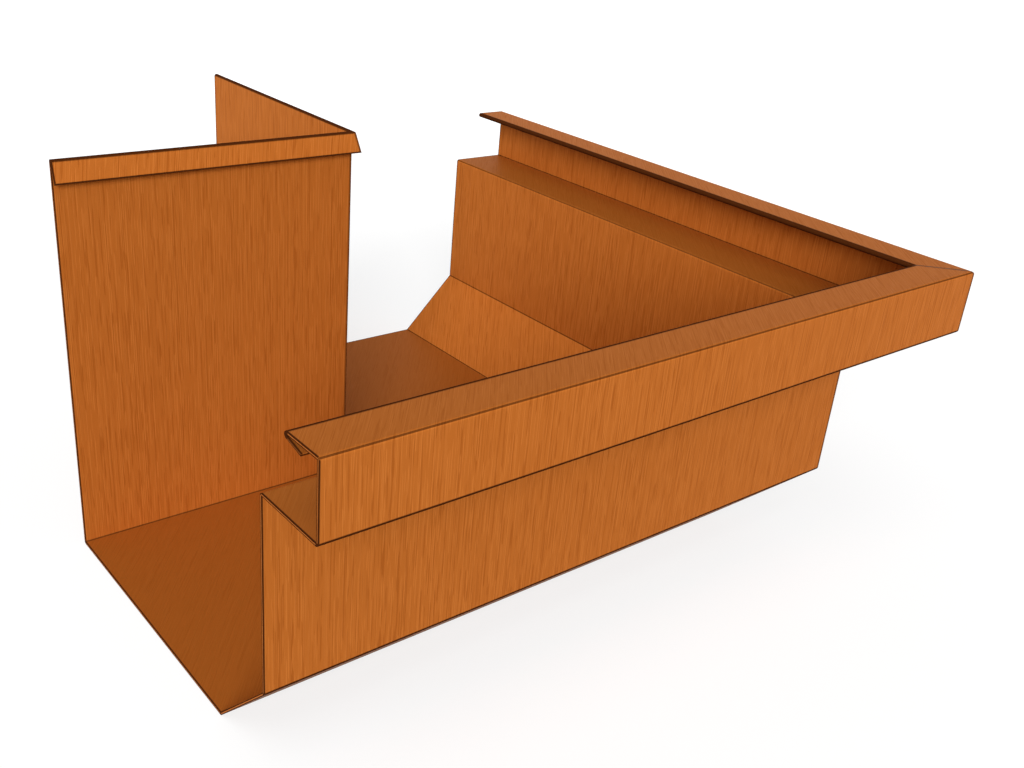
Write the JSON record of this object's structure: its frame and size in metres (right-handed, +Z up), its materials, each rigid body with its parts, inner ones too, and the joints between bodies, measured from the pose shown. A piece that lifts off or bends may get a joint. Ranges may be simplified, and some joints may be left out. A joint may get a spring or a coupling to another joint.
{
  "type": "gutter external angle",
  "caption": "Box gutter corner folded from copper sheet, turning the gutter round the outside corner of a building, with hemmed back walls, a stepped front and a hemmed lip.",
  "frame": {"origin": "middle of the square footprint, on the underside of the floor", "axes": "+Z up; +X away from the building at the right length; -Y away from the building at the left length; the mitre runs outward along +X -Y"},
  "size_m": [0.25, 0.25, 0.13],
  "materials": {
    "copper_sheet": "brushed copper sheet, satin",
    "braze": "copper-phosphorus braze, dull"
  },
  "bodies": {
    "root": {"left_leg": "copper_sheet", "right_leg": "copper_sheet", "mitre_braze": "braze"}
  },
  "joints": []
}
